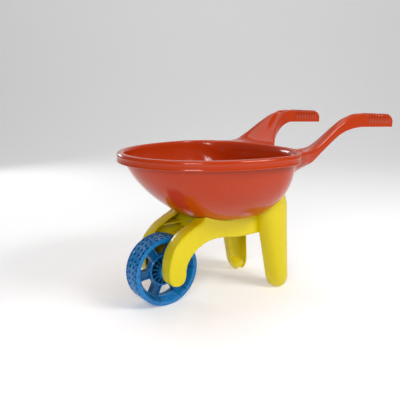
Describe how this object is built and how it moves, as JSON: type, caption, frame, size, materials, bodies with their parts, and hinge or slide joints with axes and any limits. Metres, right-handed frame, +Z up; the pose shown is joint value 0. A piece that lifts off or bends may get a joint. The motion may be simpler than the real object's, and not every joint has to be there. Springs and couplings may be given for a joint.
{
  "type": "toy wheelbarrow",
  "caption": "Child's plastic wheelbarrow: a rounded tub moulded with its ribbed handles, on side frames with half-round legs, and a spoked front wheel that spins on an axle rod.",
  "frame": {"origin": "middle of the bounding box in plan, at the ground the wheel and the feet stand on", "axes": "+X backwards to the handles, +Y to the right hand of someone at the handles, +Z up"},
  "size_m": [0.6686, 0.384, 0.3955],
  "materials": {
    "red_plastic": "glossy moulded red plastic",
    "yellow_plastic": "satin moulded yellow plastic",
    "blue_plastic": "satin moulded blue plastic",
    "steel": "bright zinc-plated steel"
  },
  "bodies": {
    "barrow": {"tub": "red_plastic", "side_frame_left": "yellow_plastic", "side_frame_right": "yellow_plastic", "axle_rod": "steel", "axle_washer_left": "steel", "axle_washer_right": "steel", "tub_screw_front_left": "steel", "tub_screw_front_right": "steel", "tub_screw_rear_left": "steel", "tub_screw_rear_right": "steel", "joining_screw_front": "steel", "joining_screw_rear": "steel"},
    "wheel": {"wheel_half_left": "blue_plastic", "wheel_half_right": "blue_plastic"}
  },
  "joints": [
    {"name": "wheel_spin", "type": "hinge", "parent": "barrow", "child": "wheel", "pos_m": [-0.2553, 0, 0.075], "axis": [0, 1, 0], "continuous": true}
  ]
}
